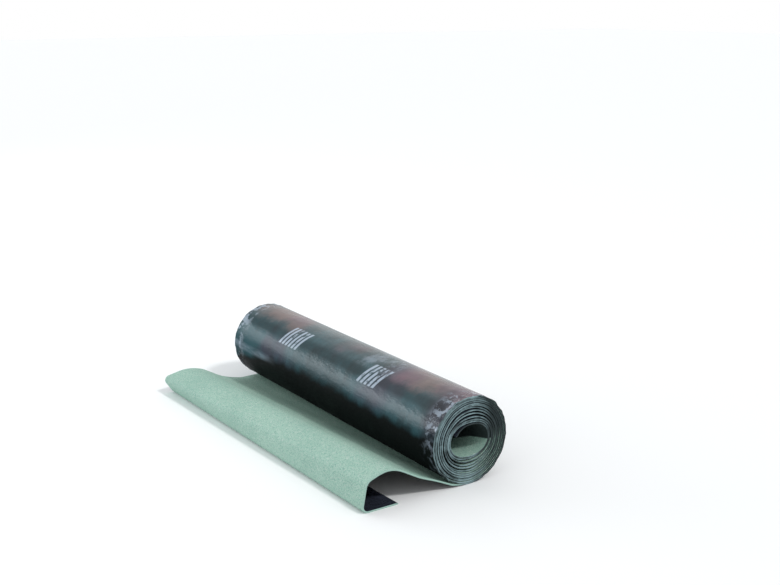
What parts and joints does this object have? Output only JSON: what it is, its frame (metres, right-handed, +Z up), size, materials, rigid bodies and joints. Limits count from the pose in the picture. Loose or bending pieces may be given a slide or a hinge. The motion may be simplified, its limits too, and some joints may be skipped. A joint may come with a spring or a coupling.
{
  "type": "roll of roofing felt",
  "caption": "Roll of bituminous roofing felt lying on its side, open in the middle, with its free end unrolled, humped and folded under.",
  "frame": {"origin": "on the floor, in the middle of the box that the roll and its free end cover", "axes": "+Y along the roll's axis from the end with the high hump to the end with the low one, +Z up, and the free end on the -X side"},
  "size_m": [0.4412, 1, 0.2178],
  "materials": {
    "felt": "glossy black torch-off film outside and pale green mineral granules on the inner face"
  },
  "bodies": {
    "root": {"felt_roll": "felt"}
  },
  "joints": []
}
